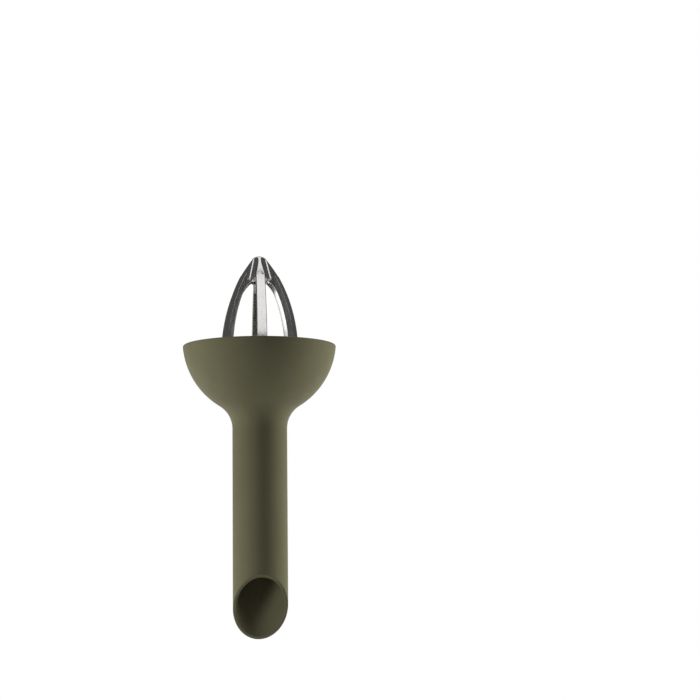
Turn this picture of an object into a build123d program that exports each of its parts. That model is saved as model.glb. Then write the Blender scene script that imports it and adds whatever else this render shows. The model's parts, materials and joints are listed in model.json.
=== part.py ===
from build123d import *
import math
import os

# Moulded body: bowl, neck and hollow handle
bowl_radius = 42.7
bowl_centre_lift = 2.9
bowl_wall = 2.2
tube_radius = 15.15
tube_wall = 1.8
neck_radius = 15.0
grip_length = 80.6
spout_drop = 35.8
rim_round = 0.9
lip_round = 0.4

# Pocket in the bowl that takes the lift-out reamer
pocket_radius = 25.2
seat_wall = 2.0
ledge_inset = 0.5
key_count = 3
key_width = 4.0
key_reach = 1.2
key_root = 0.8

# Strainer plate and the soft ring around its edge
plate_thickness = 1.2
ring_lip = 0.9
ring_back = 1.5
ring_grip = 1.4
ring_round = 0.3
hole_radius = 1.1
hole_web = 1.1
hole_row_pitch = 3.6

# Reamer blades and the crown that joins them
blade_count = 6
blade_thickness = 3.4
blade_foot_width = 6.25
blade_top_width = 4.95
blade_edge_round = 0.3
flank_radius = 84.0
belly_drop = 4.0
haunch_radius = 17.0
haunch_drop = 10.3
crown_height = 38.5
crown_recess_rise = 3.2
nose_radius = 5.5
flute_radius = 3.3
flute_depth = 3.0
flute_end_depth = 0.6
bend_inside = 1.2
foot_length = 9.8
rivet_setback = 3.2

# Rivets through the feet
rivet_radius = 1.6
rivet_head_radius = 2.4
rivet_head_height = 1.1
rivet_tail_height = 0.9

# Clearances
ring_fit = 0.15
key_fit = 0.3
plate_fit = 0.1
rivet_fit = 0.05
foot_gap = 2.8
cut_overrun = 5.0

# Heights, with zero halfway along the round grip
front_z = -grip_length / 2
tip_z = front_z - spout_drop
neck_z = grip_length / 2
neck_fall = math.sqrt((bowl_radius + neck_radius) ** 2 - (tube_radius + neck_radius) ** 2)
bowl_z = neck_z + neck_fall
rim_z = bowl_z - bowl_centre_lift
ledge_z = bowl_z - math.sqrt((bowl_radius - seat_wall) ** 2 - pocket_radius**2)
plate_z = ledge_z + ring_lip
foot_z = plate_z + plate_thickness
shelf_z = foot_z + ring_lip

# Radii that follow from the pocket, outside to inside
ring_radius = pocket_radius - ring_fit
plate_radius = ring_radius - ring_back
ring_mouth = plate_radius - ring_grip
ledge_mouth = ring_mouth - ledge_inset
foot_radius = ring_mouth - foot_gap
toe_radius = foot_radius - foot_length
rivet_circle = toe_radius + rivet_setback
bore_radius = tube_radius - tube_wall


def on_circle(centre, radius, angle):
    """Point at an angle in radians on a circle of the profile plane."""
    return (centre[0] + radius * math.cos(angle), centre[1] + radius * math.sin(angle))


def angle_of(centre, point):
    """Angle in radians from a centre to a point of the profile plane."""
    return math.atan2(point[1] - centre[1], point[0] - centre[0])


def arc(centre, start, end):
    """Arc about a centre from one point to another, the short way round."""
    radius = math.dist(centre, start)
    middle = (angle_of(centre, start) + angle_of(centre, end)) / 2
    return ThreePointArc(start, on_circle(centre, radius, middle), end)


def chain(points):
    """Straight lines through the points in order."""
    return [Line(a, b) for a, b in zip(points, points[1:])]


def profile(pieces):
    """Face in the upright XZ plane, bounded by the pieces."""
    return Plane.XZ * make_face(pieces)


def around(shape, count, index):
    """Copy of a shape turned to its place among equal ones, the first at the spout's side."""
    return Rot(0, 0, 360 * index / count - 90) * shape


def width_at(radius, z, centre_z):
    """Radius of a sphere on the axis where a level plane cuts it."""
    return math.sqrt(radius**2 - (z - centre_z) ** 2)


def neck_middle(neck, end):
    """Point halfway along the neck's arc between an end and the handle's wall."""
    turn = (math.pi + angle_of(neck, end)) / 2
    return on_circle(neck, math.dist(neck, end), turn)


def make_body():
    """Bowl, neck and handle turned about the axis, then cut at a slant for the spout."""
    centre = (0, bowl_z)
    inner = bowl_radius - bowl_wall
    neck = (tube_radius + neck_radius, neck_z)
    neck_inside = neck_radius + tube_wall
    low_z = tip_z - cut_overrun
    rim_outside = (width_at(bowl_radius, rim_z, bowl_z), rim_z)
    rim_inside = (width_at(inner, rim_z, bowl_z), rim_z)
    meet = on_circle(centre, bowl_radius, angle_of(centre, neck))
    neck_end = (tube_radius, neck_z)
    shelf_edge = (width_at(inner, shelf_z, bowl_z), shelf_z)
    throat = (ledge_mouth, neck_z + math.sqrt(neck_inside**2 - (neck[0] - ledge_mouth) ** 2))
    bore_end = (bore_radius, neck_z)
    outside = [arc(centre, rim_outside, meet)]
    outside += [ThreePointArc(meet, neck_middle(neck, meet), neck_end)]
    foot = chain([neck_end, (tube_radius, low_z), (bore_radius, low_z), bore_end])
    funnel = [ThreePointArc(bore_end, neck_middle(neck, throat), throat)]
    pocket = [(pocket_radius, ledge_z), (pocket_radius, shelf_z)]
    seat = chain([throat, (ledge_mouth, ledge_z)] + pocket + [shelf_edge])
    inside = [arc(centre, shelf_edge, rim_inside), Line(rim_inside, rim_outside)]
    body = revolve(profile(outside + foot + funnel + seat + inside), Axis.Z)
    slant = Plane(
        origin=(0, 0, front_z - spout_drop / 2),
        x_dir=(1, 0, 0),
        z_dir=(0, spout_drop, 2 * tube_radius),
    )
    body = split(body, bisect_by=slant, keep=Keep.TOP)
    lip = body.faces().sort_by(Axis.Z)[0]
    body = fillet(lip.edges(), lip_round)
    rim = body.faces().filter_by(Plane.XY).sort_by(Axis.Z)[-1]
    body = fillet(rim.edges(), rim_round)
    key_depth = key_reach + key_root
    key = Pos(pocket_radius - key_reach, 0, ledge_z) * Box(
        key_depth, key_width, shelf_z - ledge_z, align=(Align.MIN, Align.CENTER, Align.MIN)
    )
    for index in range(key_count):
        body += around(key, key_count, index)
    return body


def make_ring():
    """Soft ring with a groove for the plate's edge and a notch for each key."""
    groove = plate_radius + plate_fit
    points = [
        (ring_mouth, ledge_z),
        (ring_radius, ledge_z),
        (ring_radius, shelf_z),
        (ring_mouth, shelf_z),
        (ring_mouth, foot_z),
        (groove, foot_z),
        (groove, plate_z),
        (ring_mouth, plate_z),
        (ring_mouth, ledge_z),
    ]
    ring = revolve(profile(chain(points)), Axis.Z)
    rims = ring.edges().filter_by(GeomType.CIRCLE).group_by(Axis.Z)
    ring = fillet(rims[0] + rims[-1], ring_round)
    notch_reach = key_reach + key_fit - ring_fit
    notch = Pos(ring_radius - notch_reach, 0, ledge_z) * Box(
        notch_reach + cut_overrun,
        key_width + 2 * key_fit,
        2 * (shelf_z - ledge_z),
        align=(Align.MIN, Align.CENTER, Align.CENTER),
    )
    for index in range(key_count):
        ring -= around(notch, key_count, index)
    return ring


def hole_places():
    """Centres of the strainer holes, in rows about the axis that keep clear of the feet."""
    places = [(0, 0)]
    margin = hole_radius + hole_web
    gap = 2 * math.pi / blade_count
    rows = int((ring_mouth - margin) / hole_row_pitch)
    for row in range(1, rows + 1):
        radius = row * hole_row_pitch
        if radius + margin < toe_radius:
            count = blade_count * row
            places += [on_circle((0, 0), radius, 2 * math.pi * (i + row / 2) / count) for i in range(count)]
            continue
        blocked = (blade_foot_width / 2 + margin) / radius
        if blocked >= math.sin(gap / 2):
            continue
        free = gap / 2 - math.asin(blocked)
        spaces = int(2 * free * radius / (2 * hole_radius + hole_web))
        for index in range(blade_count):
            middle = gap * (index + 1 / 2) - math.pi / 2
            turns = [free * (2 * i / spaces - 1) for i in range(spaces + 1)] if spaces else [0]
            places += [on_circle((0, 0), radius, middle + turn) for turn in turns]
    return places


def make_plate():
    """Perforated strainer plate with the rivets' holes."""
    deep = 2 * plate_thickness
    level = plate_z + plate_thickness / 2
    plate = Pos(0, 0, level) * Cylinder(plate_radius, plate_thickness)
    holes = [Pos(x, y, level) * Cylinder(hole_radius, deep) for x, y in hole_places()]
    drill = Pos(rivet_circle, 0, level) * Cylinder(rivet_radius + rivet_fit, deep)
    holes += [around(drill, blade_count, index) for index in range(blade_count)]
    return plate - holes


def flank_centre():
    """Centre of the blades' side arc, which passes the outer corner of the foot."""
    belly_z = rim_z - belly_drop
    reach = math.sqrt(flank_radius**2 - (foot_z - belly_z) ** 2)
    return (foot_radius - reach, belly_z)


def crown_angle():
    """Angle on the flank's arc where blade and crown meet."""
    return math.asin((crown_height + belly_drop) / flank_radius)


def haunch():
    """Start, centre and end of the arc that thickens a blade inwards as it nears the crown."""
    centre = flank_centre()
    inner = flank_radius - blade_thickness
    reach = inner - haunch_radius
    top = crown_angle()
    start_angle = math.asin((crown_height - haunch_drop + belly_drop) / inner)
    turn = top - start_angle
    end_radius = reach * math.cos(turn) + math.sqrt(haunch_radius**2 - (reach * math.sin(turn)) ** 2)
    start = on_circle(centre, inner, start_angle)
    return start, on_circle(centre, reach, start_angle), on_circle(centre, end_radius, top)


def make_blade():
    """One bent steel blade along +X, tapered upwards, with its riveted foot."""
    centre = flank_centre()
    inner = flank_radius - blade_thickness
    top = crown_angle()
    haunch_start, haunch_centre, top_inside = haunch()
    sole_z = foot_z
    step_z = foot_z + blade_thickness
    heel = (foot_radius, sole_z)
    crook = (centre[0] + math.sqrt(inner**2 - (step_z - centre[1]) ** 2), step_z)
    top_outside = on_circle(centre, flank_radius, top)
    outline = [arc(centre, top_outside, heel)]
    outline += chain([heel, (toe_radius, sole_z), (toe_radius, step_z), crook])
    outline += [arc(centre, crook, haunch_start), arc(haunch_centre, haunch_start, top_inside)]
    outline += [Line(top_inside, top_outside)]
    face = make_face(outline)
    face = fillet(nearest(face, heel), bend_inside + blade_thickness)
    face = fillet(nearest(face, crook), bend_inside)
    strip = extrude(Plane.XZ * face, amount=blade_foot_width, both=True)
    half_foot = blade_foot_width / 2
    half_top = blade_top_width / 2
    top_z = top_outside[1]
    sides = [(-half_foot, sole_z), (half_foot, sole_z), (half_top, top_z), (-half_top, top_z)]
    taper = extrude(Plane.YZ * make_face(chain(sides + sides[:1])), amount=2 * foot_radius)
    blade = strip & taper
    blade = fillet(long_edges(blade), blade_edge_round)
    drill = Pos(rivet_circle, 0, sole_z) * Cylinder(rivet_radius + rivet_fit, 3 * blade_thickness)
    return blade - drill


def nearest(face, point):
    """Corner of a face closest to a point of its plane."""
    return face.vertices().sort_by(lambda v: math.dist((v.X, v.Y), point))[0]


def long_edges(blade):
    """Edges that run up the blade and along its foot, without those of its two ends."""
    ends = [blade.faces().sort_by(Axis.X)[0], blade.faces().sort_by(Axis.Z)[-1]]
    across = [edge for edge in blade.edges() if abs(edge.center().Y) < blade_edge_round]
    skip = [edge for end in ends for edge in end.edges()] + across
    return [edge for edge in blade.edges() if edge not in skip]


def make_crown():
    """Nose on the blades' flank: a flat seat for each blade, a flute between two, a recess below."""
    centre = flank_centre()
    top = crown_angle()
    seat_outside = on_circle(centre, flank_radius, top)
    seat_inside = haunch()[-1]
    nose_rise = math.sqrt((flank_radius - nose_radius) ** 2 - centre[0] ** 2)
    nose = (0, centre[1] + nose_rise)
    blend = on_circle(centre, flank_radius, angle_of(centre, nose))
    apex = (0, nose[1] + nose_radius)
    slope = math.tan(top)
    point_z = seat_outside[1] - slope * seat_outside[0]
    skirt = on_circle(centre, flank_radius, math.asin((point_z - centre[1]) / flank_radius))
    outline = [arc(centre, skirt, blend), arc(nose, blend, apex)]
    outline += chain([apex, (0, point_z), skirt])
    crown = revolve(profile(outline), Axis.Z)
    for index in range(blade_count):
        turn = 2 * math.pi * index / blade_count - math.pi / 2
        x, y = math.cos(turn), math.sin(turn)
        seat = Plane(
            origin=(seat_outside[0] * x, seat_outside[0] * y, seat_outside[1]),
            x_dir=(-y, x, 0),
            z_dir=(-math.sin(top) * x, -math.sin(top) * y, math.cos(top)),
        )
        crown = split(crown, bisect_by=seat, keep=Keep.TOP)
    low_z = point_z - blade_thickness
    recess = [(0, seat_inside[1] + crown_recess_rise), seat_inside, (seat_inside[0], low_z), (0, low_z)]
    crown -= revolve(profile(chain(recess + recess[:1])), Axis.Z)
    flute = make_flute(
        on_circle(centre, flank_radius + flute_radius - flute_depth, top),
        on_circle(centre, flank_radius + flute_radius - flute_end_depth, angle_of(centre, nose)),
    )
    for index in range(blade_count):
        crown -= around(flute, blade_count, index + 1 / 2)
    return crown


def make_flute(low, high):
    """Round bar along +X, through two points of the profile plane, that cuts one flute."""
    course = Plane(
        origin=(low[0], 0, low[1]),
        x_dir=(0, 1, 0),
        z_dir=(high[0] - low[0], 0, high[1] - low[1]),
    )
    return course * Cylinder(flute_radius, 2 * (math.dist(low, high) + cut_overrun))


def make_rivet():
    """Domed rivet through a foot and the plate, upset below."""
    head_z = foot_z + blade_thickness
    dome = (rivet_head_radius**2 + rivet_head_height**2) / (2 * rivet_head_height)
    crest = (0, head_z + rivet_head_height)
    outline = [arc((0, crest[1] - dome), (rivet_head_radius, head_z), crest)]
    outline += chain(
        [
            crest,
            (0, plate_z - rivet_tail_height),
            (rivet_head_radius, plate_z - rivet_tail_height),
            (rivet_head_radius, plate_z),
            (rivet_radius, plate_z),
            (rivet_radius, head_z),
            (rivet_head_radius, head_z),
        ]
    )
    return Pos(rivet_circle, 0, 0) * revolve(profile(outline), Axis.Z)


os.makedirs("parts", exist_ok=True)
blade = make_blade()
rivet = make_rivet()
rivets = [around(rivet, blade_count, index) for index in range(blade_count)]
export_step(make_body(), "parts/body_shell.step")
export_step(make_ring(), "parts/grip_ring.step")
export_step(make_plate(), "parts/strainer_plate.step")
export_step(make_crown(), "parts/crown.step")
export_step(Compound(rivets), "parts/foot_rivets.step")
for index in range(blade_count):
    export_step(around(blade, blade_count, index), f"parts/reamer_blade_{index + 1}.step")
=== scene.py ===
import json
import math

import bpy
from mathutils import Matrix, Vector

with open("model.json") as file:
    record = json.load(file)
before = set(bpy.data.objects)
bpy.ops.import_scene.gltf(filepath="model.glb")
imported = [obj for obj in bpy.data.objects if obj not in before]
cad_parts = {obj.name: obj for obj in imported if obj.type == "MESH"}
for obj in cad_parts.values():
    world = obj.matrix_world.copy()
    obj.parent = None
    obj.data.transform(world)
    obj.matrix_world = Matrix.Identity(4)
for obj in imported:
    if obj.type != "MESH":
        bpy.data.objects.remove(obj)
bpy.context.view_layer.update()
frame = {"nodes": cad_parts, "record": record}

scene = bpy.context.scene
scene.view_settings.view_transform = "Standard"

# Camera: level with the spout and a little to its left, aimed above the part's middle and to its right
CAMERA_HEIGHT = -0.0566
CAMERA_DISTANCE = 1.1
CAMERA_AZIMUTH = math.radians(-4.0)
CAMERA_YAW = math.radians(6.627)
CAMERA_PITCH = math.radians(7.277)
CAMERA_ROLL = math.radians(0.58)
CAMERA_LENS = 102.33
SENSOR_WIDTH = 36.0

# Surround: white to the camera, dim to the part, and in metal white at the horizon and dim above it
WHITE = (1.0, 1.0, 1.0, 1.0)
SURROUND_LIGHT = 0.03
SWEEP_TOP = 0.1
SURROUND_GLOSS = 0.06

# Floor: its glow is weaker below the part, so that a soft shadow shows there
FLOOR_HEIGHT = -0.5
FLOOR_SIZE = 12.0
FLOOR_TONE = (0.28, 0.28, 0.28, 1.0)
FLOOR_GLOW_SHARE = 0.8
FLOOR_FADE_START = 0.2
FLOOR_FADE_END = 0.75

# Lights: a high and a low one on each side, a strip behind, a panel high in front, one overhead
LIGHT_AIM = Vector((0.0, 0.0, 0.02))
SIDE_LIGHT_DISTANCE = 0.8
SIDE_LIGHT_SIZE = (0.3, 0.25)
HIGH_LIGHT_HEIGHT = 0.12
LOW_LIGHT_HEIGHT = -0.38
LEFT_HIGH_ANGLE = math.radians(-92.0)
LEFT_HIGH_RADIANCE = 11.8
LEFT_LOW_ANGLE = math.radians(-66.0)
LEFT_LOW_RADIANCE = 11.8
RIGHT_HIGH_ANGLE = math.radians(96.0)
RIGHT_HIGH_RADIANCE = 22.3
RIGHT_LOW_ANGLE = math.radians(98.0)
RIGHT_LOW_RADIANCE = 8.1
STRIP_SIZE = (0.3, 0.4)
STRIP_HEIGHT = -0.15
STRIP_RADIANCE = 1.0
STRIP_ANGLE = math.radians(-118.0)
PANEL_SIZE = (0.32, 1.22)
PANEL_DISTANCE = 1.25
PANEL_ANGLE = 0.0
PANEL_ELEVATION = math.radians(47.5)
PANEL_RADIANCE = 1.14
TOP_SIZE = (1.2, 1.2)
TOP_HEIGHT = 1.2
TOP_SETBACK = 0.25
TOP_RADIANCE = 1.03

# Shader nodes: the stretch of a noise that is drawn out, and sockets that share a name, by number
NOISE_LOW = 0.3
NOISE_HIGH = 0.7
TINT_STOPS = (0.32, 0.68)
BEVEL_SAMPLES = 6
MIX_FIRST_COLOUR = 6
MIX_SECOND_COLOUR = 7
MIX_COLOUR_RESULT = 2
EVEN_SCALE = (1.0, 1.0, 1.0)

# Olive plastic: ranges low to high, noises by scale, detail and roughness, relief by depth and strength
PLASTIC_TONES = ((0.170, 0.160, 0.0925), (0.186, 0.175, 0.1025))
PLASTIC_MOTTLE = (45.0, 3.0, 0.5)
GRAIN_TONES = ((0.159, 0.148, 0.085), (0.198, 0.186, 0.1105))
GRAIN_SPECKS = (2600.0, 2.0, 0.6)
GRAIN_PATCHES = (300.0, 2.0, 0.5)
GRAIN_SHARE = (0.25, 0.45)
WEAR_TONES = ((0.205, 0.198, 0.140), (0.235, 0.228, 0.165))
WEAR_RADIUS = 0.0009
WEAR_START_COSINE = 0.99
WEAR_FULL_COSINE = 0.86
WEAR_PATCHES = (160.0, 2.0, 0.5)
WEAR_SHARE = (0.15, 0.6)
PLASTIC_SHEEN = (140.0, 3.0, 0.55)
PLASTIC_ROUGHNESS = (0.54, 0.64)
PLASTIC_SKIN = (1900.0, 2.0, 0.55)
PLASTIC_RELIEF = (0.00004, 0.16)
PLASTIC_SPECULAR = 0.15

# Polished steel, in the same terms
STEEL_TONES = ((0.65, 0.64, 0.625), (0.71, 0.705, 0.695))
STEEL_SMUDGES = (110.0, 4.0, 0.6)
LINE_TONES = ((0.60, 0.59, 0.575), (0.74, 0.735, 0.725))
LINE_NOISE = (1500.0, 4.0, 0.6)
LINE_SCALE = (1.0, 1.0, 0.05)
LINE_SHARE = (0.3, 0.6)
STEEL_ROUGHNESS = (0.11, 0.22)
STEEL_RELIEF = (0.00002, 0.12)

# Silicone, in the same terms
SILICONE_TONES = ((0.049, 0.047, 0.037), (0.062, 0.059, 0.047))
SILICONE_CLOUDS = (220.0, 3.0, 0.5)
SILICONE_SHEEN = (420.0, 2.0, 0.5)
SILICONE_ROUGHNESS = (0.55, 0.68)
SILICONE_SKIN = (2400.0, 2.0, 0.5)
SILICONE_RELIEF = (0.00003, 0.2)


def add_node(tree, kind, **settings):
    """New shader node; settings name its properties, or its inputs when they start with in_."""
    made = tree.nodes.new(kind)
    for key, value in settings.items():
        if key.startswith("in_"):
            made.inputs[key.removeprefix("in_").replace("_", " ")].default_value = value
        else:
            setattr(made, key, value)
    return made


def empty_tree(owner):
    """Cleared node tree of a material or a world."""
    owner.use_nodes = True
    owner.node_tree.nodes.clear()
    return owner.node_tree


def new_material(name):
    """Empty node material with its Principled shader joined to the output."""
    material = bpy.data.materials.new(name)
    tree = empty_tree(material)
    shader = add_node(tree, "ShaderNodeBsdfPrincipled")
    output = add_node(tree, "ShaderNodeOutputMaterial")
    tree.links.new(shader.outputs["BSDF"], output.inputs["Surface"])
    return material, tree, shader


def combine(tree, operation, first, second):
    """Sum, product or the like of two values."""
    made = add_node(tree, "ShaderNodeMath", operation=operation)
    tree.links.new(first, made.inputs[0])
    tree.links.new(second, made.inputs[1])
    return made.outputs["Value"]


def map_range(tree, value, start, end, **settings):
    """Value taken from one range to another, held at its ends."""
    made = add_node(tree, "ShaderNodeMapRange", **settings)
    made.inputs["From Min"].default_value, made.inputs["To Min"].default_value = start
    made.inputs["From Max"].default_value, made.inputs["To Max"].default_value = end
    tree.links.new(value, made.inputs["Value"])
    return made.outputs["Result"]


def mix_shaders(tree, amount, first, second):
    """Second shader laid over the first by an amount."""
    made = add_node(tree, "ShaderNodeMixShader")
    tree.links.new(amount, made.inputs["Fac"])
    tree.links.new(first, made.inputs[1])
    tree.links.new(second, made.inputs[2])
    return made.outputs["Shader"]


def place(tree, scale):
    """Object coordinates in metres, times a scale along each axis."""
    where = add_node(tree, "ShaderNodeTexCoord")
    mapping = add_node(tree, "ShaderNodeMapping", in_Scale=scale)
    tree.links.new(where.outputs["Object"], mapping.inputs["Vector"])
    return mapping.outputs["Vector"]


def noise(tree, vector, scale, detail, roughness):
    """Fractal noise about one half."""
    made = add_node(tree, "ShaderNodeTexNoise", in_Scale=scale, in_Detail=detail, in_Roughness=roughness)
    tree.links.new(vector, made.inputs["Vector"])
    return made.outputs["Fac"]


def spread(tree, value, low, high):
    """Noise drawn out to a range of values."""
    return map_range(tree, value, (NOISE_LOW, low), (NOISE_HIGH, high))


def tint(tree, value, tones):
    """Colour between two tones, by noise."""
    made = add_node(tree, "ShaderNodeValToRGB")
    for element, stop, tone in zip(made.color_ramp.elements, TINT_STOPS, tones):
        element.position = stop
        element.color = (*tone, 1.0)
    tree.links.new(value, made.inputs["Fac"])
    return made.outputs["Color"]


def blend(tree, amount, first, second):
    """Second colour laid over the first by an amount."""
    made = add_node(tree, "ShaderNodeMix", data_type="RGBA")
    tree.links.new(amount, made.inputs["Factor"])
    tree.links.new(first, made.inputs[MIX_FIRST_COLOUR])
    tree.links.new(second, made.inputs[MIX_SECOND_COLOUR])
    return made.outputs[MIX_COLOUR_RESULT]


def relief(tree, shader, height, depth, strength):
    """Fine relief on the shader's normal."""
    made = add_node(tree, "ShaderNodeBump", in_Strength=strength, in_Distance=depth)
    tree.links.new(height, made.inputs["Height"])
    tree.links.new(made.outputs["Normal"], shader.inputs["Normal"])


def edges(tree):
    """Mask of rounded edges, from how far a widened bevel turns the surface."""
    bevel = add_node(tree, "ShaderNodeBevel", samples=BEVEL_SAMPLES, in_Radius=WEAR_RADIUS)
    geometry = add_node(tree, "ShaderNodeNewGeometry")
    turn = add_node(tree, "ShaderNodeVectorMath", operation="DOT_PRODUCT")
    tree.links.new(bevel.outputs["Normal"], turn.inputs[0])
    tree.links.new(geometry.outputs["Normal"], turn.inputs[1])
    return map_range(tree, turn.outputs["Value"], (WEAR_START_COSINE, 0.0), (WEAR_FULL_COSINE, 1.0))


def make_plastic():
    """Olive moulded plastic with a fine matt grain, soft mottling and paler edges."""
    material, tree, shader = new_material("olive_plastic")
    here = place(tree, EVEN_SCALE)
    specks = noise(tree, here, *GRAIN_SPECKS)
    base = tint(tree, noise(tree, here, *PLASTIC_MOTTLE), PLASTIC_TONES)
    grain = tint(tree, specks, GRAIN_TONES)
    grain_share = spread(tree, noise(tree, here, *GRAIN_PATCHES), *GRAIN_SHARE)
    grained = blend(tree, grain_share, base, grain)
    worn = tint(tree, specks, WEAR_TONES)
    wear_share = spread(tree, noise(tree, here, *WEAR_PATCHES), *WEAR_SHARE)
    wear = combine(tree, "MULTIPLY", edges(tree), wear_share)
    roughness = spread(tree, noise(tree, here, *PLASTIC_SHEEN), *PLASTIC_ROUGHNESS)
    tree.links.new(blend(tree, wear, grained, worn), shader.inputs["Base Color"])
    tree.links.new(roughness, shader.inputs["Roughness"])
    relief(tree, shader, noise(tree, here, *PLASTIC_SKIN), *PLASTIC_RELIEF)
    shader.inputs["Specular IOR Level"].default_value = PLASTIC_SPECULAR
    return material


def make_steel():
    """Polished stainless steel with faint lengthwise polishing lines and smudges."""
    material, tree, shader = new_material("polished_steel")
    lines = noise(tree, place(tree, LINE_SCALE), *LINE_NOISE)
    smudges = noise(tree, place(tree, EVEN_SCALE), *STEEL_SMUDGES)
    plain = tint(tree, smudges, STEEL_TONES)
    lined = tint(tree, lines, LINE_TONES)
    line_share = spread(tree, smudges, *LINE_SHARE)
    tree.links.new(blend(tree, line_share, plain, lined), shader.inputs["Base Color"])
    tree.links.new(spread(tree, lines, *STEEL_ROUGHNESS), shader.inputs["Roughness"])
    relief(tree, shader, lines, *STEEL_RELIEF)
    shader.inputs["Metallic"].default_value = 1.0
    return material


def make_silicone():
    """Dark olive silicone with a soft matt skin."""
    material, tree, shader = new_material("silicone")
    here = place(tree, EVEN_SCALE)
    base = tint(tree, noise(tree, here, *SILICONE_CLOUDS), SILICONE_TONES)
    roughness = spread(tree, noise(tree, here, *SILICONE_SHEEN), *SILICONE_ROUGHNESS)
    tree.links.new(base, shader.inputs["Base Color"])
    tree.links.new(roughness, shader.inputs["Roughness"])
    relief(tree, shader, noise(tree, here, *SILICONE_SKIN), *SILICONE_RELIEF)
    return material


def direct_rays(tree, path):
    """One for what is seen straight or through something clear, nought for other rays."""
    return combine(tree, "MAXIMUM", path.outputs["Is Camera Ray"], path.outputs["Is Transmission Ray"])


def make_world():
    """White to the camera and low down in metal, a dim even surround for the object."""
    world = bpy.data.worlds.new("studio")
    tree = empty_tree(world)
    dim = add_node(tree, "ShaderNodeBackground", in_Color=WHITE, in_Strength=SURROUND_LIGHT)
    white = add_node(tree, "ShaderNodeBackground", in_Color=WHITE, in_Strength=1.0)
    path = add_node(tree, "ShaderNodeLightPath")
    where = add_node(tree, "ShaderNodeTexCoord")
    apart = add_node(tree, "ShaderNodeSeparateXYZ")
    tree.links.new(where.outputs["Generated"], apart.inputs["Vector"])
    sweep = map_range(tree, apart.outputs["Z"], (0.0, 1.0), (SWEEP_TOP, SURROUND_GLOSS))
    mirrored = combine(tree, "MULTIPLY", path.outputs["Is Glossy Ray"], sweep)
    seen = combine(tree, "MAXIMUM", direct_rays(tree, path), mirrored)
    mixed = mix_shaders(tree, seen, dim.outputs["Background"], white.outputs["Background"])
    output = add_node(tree, "ShaderNodeOutputWorld")
    tree.links.new(mixed, output.inputs["Surface"])
    scene.world = world


def floor_material():
    """White glow that fades a little near the part, clear from below."""
    material = bpy.data.materials.new("floor_white")
    tree = empty_tree(material)
    matt = add_node(tree, "ShaderNodeBsdfDiffuse", in_Color=FLOOR_TONE)
    glow = add_node(tree, "ShaderNodeEmission", in_Strength=1.0)
    clear = add_node(tree, "ShaderNodeBsdfTransparent")
    path = add_node(tree, "ShaderNodeLightPath")
    where = add_node(tree, "ShaderNodeTexCoord")
    reach = add_node(tree, "ShaderNodeVectorMath", operation="LENGTH")
    tree.links.new(where.outputs["Object"], reach.inputs[0])
    near = (FLOOR_FADE_START, FLOOR_GLOW_SHARE)
    far = (FLOOR_FADE_END, 1.0)
    fade = map_range(tree, reach.outputs["Value"], near, far, interpolation_type="SMOOTHSTEP")
    seen = combine(tree, "MAXIMUM", direct_rays(tree, path), path.outputs["Is Glossy Ray"])
    glow_share = combine(tree, "MULTIPLY", seen, fade)
    above = mix_shaders(tree, glow_share, matt.outputs["BSDF"], glow.outputs["Emission"])
    geometry = add_node(tree, "ShaderNodeNewGeometry")
    surface = mix_shaders(tree, geometry.outputs["Backfacing"], above, clear.outputs["BSDF"])
    output = add_node(tree, "ShaderNodeOutputMaterial")
    tree.links.new(surface, output.inputs["Surface"])
    return material


def make_floor():
    """Wide white floor below the object, which keeps its shadow and hides nothing from below."""
    half = FLOOR_SIZE / 2
    corners = [(-half, -half, 0.0), (half, -half, 0.0), (half, half, 0.0), (-half, half, 0.0)]
    mesh = bpy.data.meshes.new("floor")
    mesh.from_pydata(corners, [], [(0, 1, 2, 3)])
    mesh.materials.append(floor_material())
    floor = bpy.data.objects.new("floor", mesh)
    floor.location.z = FLOOR_HEIGHT
    scene.collection.objects.link(floor)


def around(angle, reach, height):
    """Point at an angle round the upright axis from the spout's side."""
    return Vector((reach * math.sin(angle), -reach * math.cos(angle), height))


def add_lamp(name, place_at, size, radiance, mirrored):
    """Rectangular soft light of a given radiance that faces the object, mirrored in its metal or not."""
    data = bpy.data.lights.new(name, "AREA")
    data.shape = "RECTANGLE"
    data.size, data.size_y = size
    data.energy = radiance * math.pi * size[0] * size[1]
    lamp = bpy.data.objects.new(name, data)
    lamp.location = place_at
    lamp.rotation_euler = (LIGHT_AIM - place_at).to_track_quat("-Z", "Y").to_euler()
    lamp.visible_glossy = mirrored
    scene.collection.objects.link(lamp)


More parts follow.
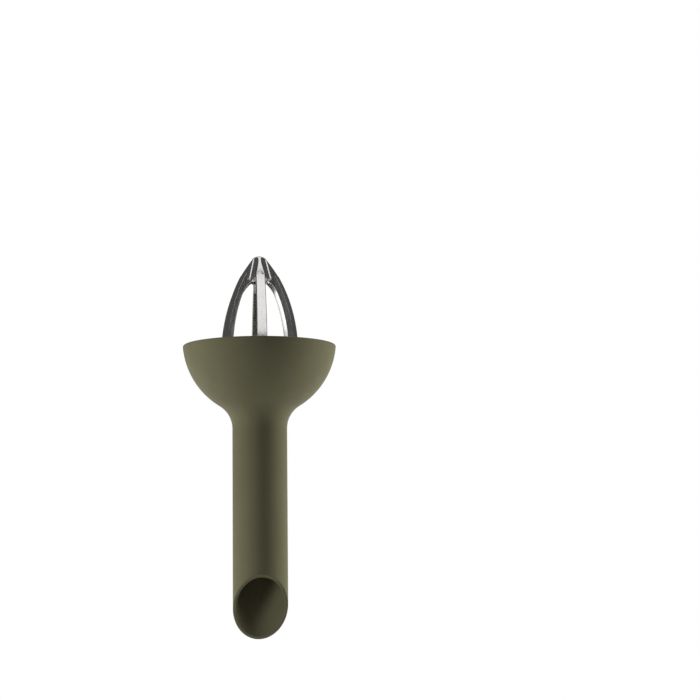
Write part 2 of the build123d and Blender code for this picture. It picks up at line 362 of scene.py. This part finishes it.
def make_lights():
    """Side lights that the metal doesn't mirror, and a strip, a panel and a top light that it does."""
    side_lights = (
        ("left_high", LEFT_HIGH_ANGLE, HIGH_LIGHT_HEIGHT, LEFT_HIGH_RADIANCE),
        ("left_low", LEFT_LOW_ANGLE, LOW_LIGHT_HEIGHT, LEFT_LOW_RADIANCE),
        ("right_high", RIGHT_HIGH_ANGLE, HIGH_LIGHT_HEIGHT, RIGHT_HIGH_RADIANCE),
        ("right_low", RIGHT_LOW_ANGLE, LOW_LIGHT_HEIGHT, RIGHT_LOW_RADIANCE),
    )
    for name, angle, height, radiance in side_lights:
        place_at = around(angle, SIDE_LIGHT_DISTANCE, height)
        add_lamp(name, place_at, SIDE_LIGHT_SIZE, radiance, mirrored=False)
    strip_place = around(STRIP_ANGLE, SIDE_LIGHT_DISTANCE, STRIP_HEIGHT)
    panel_reach = PANEL_DISTANCE * math.cos(PANEL_ELEVATION)
    panel_height = PANEL_DISTANCE * math.sin(PANEL_ELEVATION)
    panel_place = around(PANEL_ANGLE, panel_reach, panel_height)
    top_place = Vector((0.0, TOP_SETBACK, TOP_HEIGHT))
    add_lamp("back_strip", strip_place, STRIP_SIZE, STRIP_RADIANCE, mirrored=True)
    add_lamp("front_panel", panel_place, PANEL_SIZE, PANEL_RADIANCE, mirrored=True)
    add_lamp("top_light", top_place, TOP_SIZE, TOP_RADIANCE, mirrored=True)


def make_camera():
    """Camera at the photograph's viewing angle."""
    data = bpy.data.cameras.new("camera")
    data.sensor_width = SENSOR_WIDTH
    data.lens = CAMERA_LENS
    camera = bpy.data.objects.new("camera", data)
    scene.collection.objects.link(camera)
    place_at = around(CAMERA_AZIMUTH, CAMERA_DISTANCE, CAMERA_HEIGHT)
    level = math.cos(CAMERA_PITCH)
    ahead = Vector((math.sin(CAMERA_YAW) * level, math.cos(CAMERA_YAW) * level, math.sin(CAMERA_PITCH)))
    right = Vector((math.cos(CAMERA_YAW), -math.sin(CAMERA_YAW), 0.0))
    up = right.cross(ahead)
    side = right * math.cos(CAMERA_ROLL) - up * math.sin(CAMERA_ROLL)
    top = up * math.cos(CAMERA_ROLL) + right * math.sin(CAMERA_ROLL)
    turn = Matrix((side, top, -ahead)).transposed()
    camera.matrix_world = Matrix.Translation(place_at) @ turn.to_4x4()
    scene.camera = camera


finishes = {
    "olive_plastic": make_plastic(),
    "polished_steel": make_steel(),
    "silicone": make_silicone(),
}
for subpart in frame["record"]["subparts"]:
    node = frame["nodes"][subpart["node"]]
    node.data.materials.clear()
    node.data.materials.append(finishes[subpart["material_slot"]])

make_world()
make_floor()
make_lights()
make_camera()
